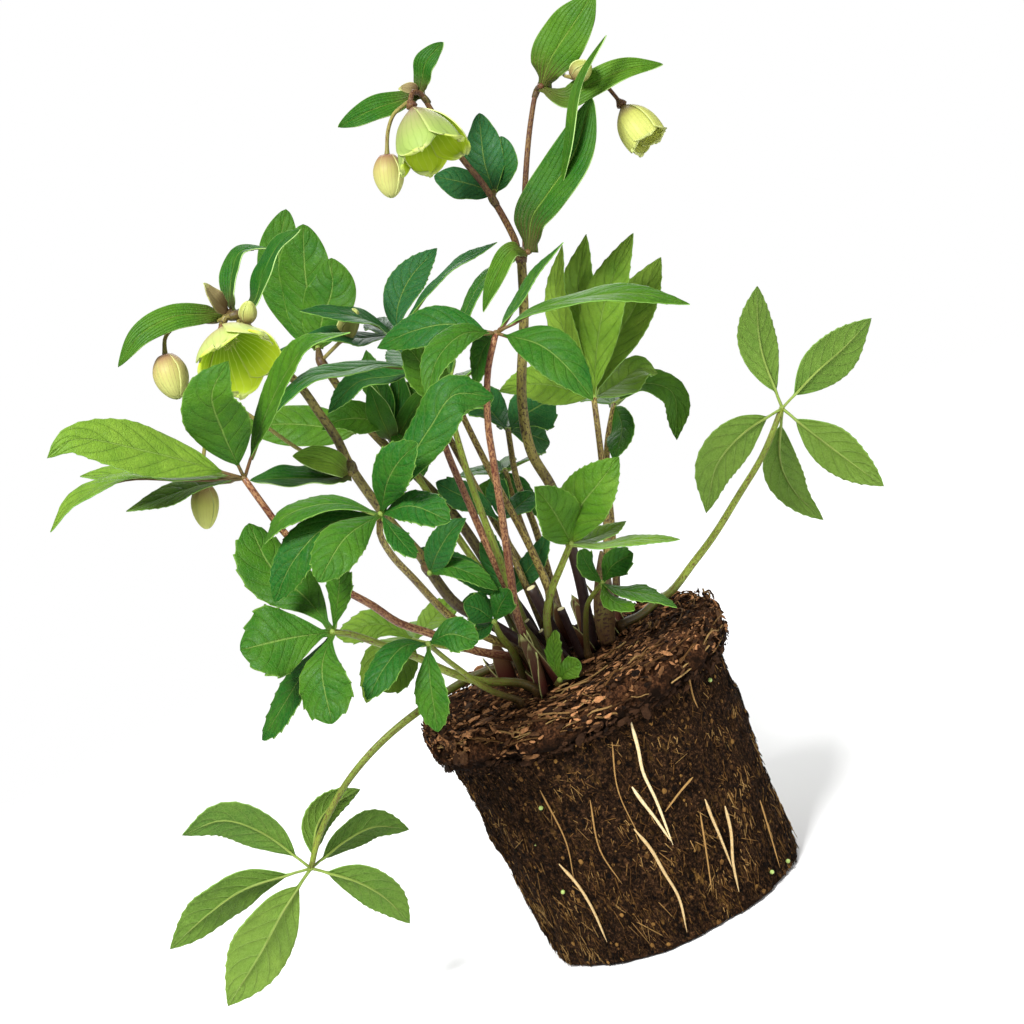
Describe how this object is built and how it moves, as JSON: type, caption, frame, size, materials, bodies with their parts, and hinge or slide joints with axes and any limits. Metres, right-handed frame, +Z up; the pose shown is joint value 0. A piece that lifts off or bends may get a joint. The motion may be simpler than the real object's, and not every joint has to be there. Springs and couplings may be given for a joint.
{
  "type": "hellebore plant",
  "caption": "Flowering hellebore with palmate leaves and nodding lime green flowers, standing on its bare pot-shaped root ball.",
  "frame": {"origin": "middle of the root ball's flat base", "axes": "+Z up along the root ball's axis, -Y towards the side that the picture shows, +X to its right"},
  "size_m": [0.4243, 0.2866, 0.4005],
  "materials": {
    "peat": "dark damp peat bound by fine tan roots",
    "bark_mat": "crumbly reddish brown bark and dead roots",
    "pale_root": "smooth cream root",
    "stem": "dark purple-brown, faintly ribbed",
    "flower_stalk": "red-brown with darker speckles",
    "brown_stalk": "red-brown with darker speckles, satin",
    "green_stalk": "yellow-green, satin",
    "leaf": "satin mid green with pale veins, paler beneath",
    "pale_leaf": "sage green underside with raised veins, darker above",
    "basal_leaf": "fresh green, satin",
    "bract": "satin mid green with pale veins",
    "sepal": "lime green, yellower inside, soft sheen",
    "stamen": "cream yellow tuft",
    "bud": "cream green with a pink-brown blush",
    "sheath": "brown-green papery sheath"
  },
  "bodies": {
    "root": {"basal_leaf_back": "basal_leaf", "basal_leaf_far_back": "basal_leaf", "basal_leaf_left": "basal_leaf", "basal_leaf_right": "basal_leaf", "bracts_back_left": "bract", "bracts_back_top": "bract", "bracts_behind_fork": "bract", "bracts_centre": "bract", "bracts_fork": "bract", "bracts_left_low": "bract", "bracts_left_middle": "bract", "bracts_left_top": "bract", "bracts_top_left": "bract", "bracts_top_right": "bract", "bud_left": "bud", "bud_low": "bud", "bud_top": "bud", "flower_centre_left": "stamen", "flower_centre_right": "stamen", "flower_centre_top": "stamen", "flower_cup_left": "sepal", "flower_cup_right": "sepal", "flower_cup_top": "sepal", "leaf_blade_back_dark": "leaf", "leaf_blade_back_left": "leaf", "leaf_blade_back_right": "leaf", "leaf_blade_centre": "leaf", "leaf_blade_centre_left": "leaf", "leaf_blade_front": "leaf", "leaf_blade_hanging": "pale_leaf", "leaf_blade_left": "leaf", "leaf_blade_low_left": "leaf", "leaf_blade_right": "pale_leaf", "leaf_blade_right_upright": "leaf", "leaf_blade_small_front": "leaf", "leaf_blade_tall_front": "leaf", "leaf_stalk_back_dark": "brown_stalk", "leaf_stalk_back_left": "brown_stalk", "leaf_stalk_back_right": "brown_stalk", "leaf_stalk_centre": "brown_stalk", "leaf_stalk_centre_left": "brown_stalk", "leaf_stalk_front": "brown_stalk", "leaf_stalk_hanging": "green_stalk", "leaf_stalk_left": "brown_stalk", "leaf_stalk_low_left": "green_stalk", "leaf_stalk_right": "green_stalk", "leaf_stalk_right_upright": "brown_stalk", "leaf_stalk_small_front": "green_stalk", "leaf_stalk_tall_front": "brown_stalk", "root_ball": "peat", "side_root_front": "pale_root", "side_root_low": "pale_root", "side_root_right": "pale_root", "stem_back": "stem", "stem_left": "stem", "stem_tall": "stem", "stem_tall_left": "flower_stalk", "stem_tall_right": "flower_stalk", "top_dressing": "bark_mat", "young_shoot": "sheath"}
  },
  "joints": []
}
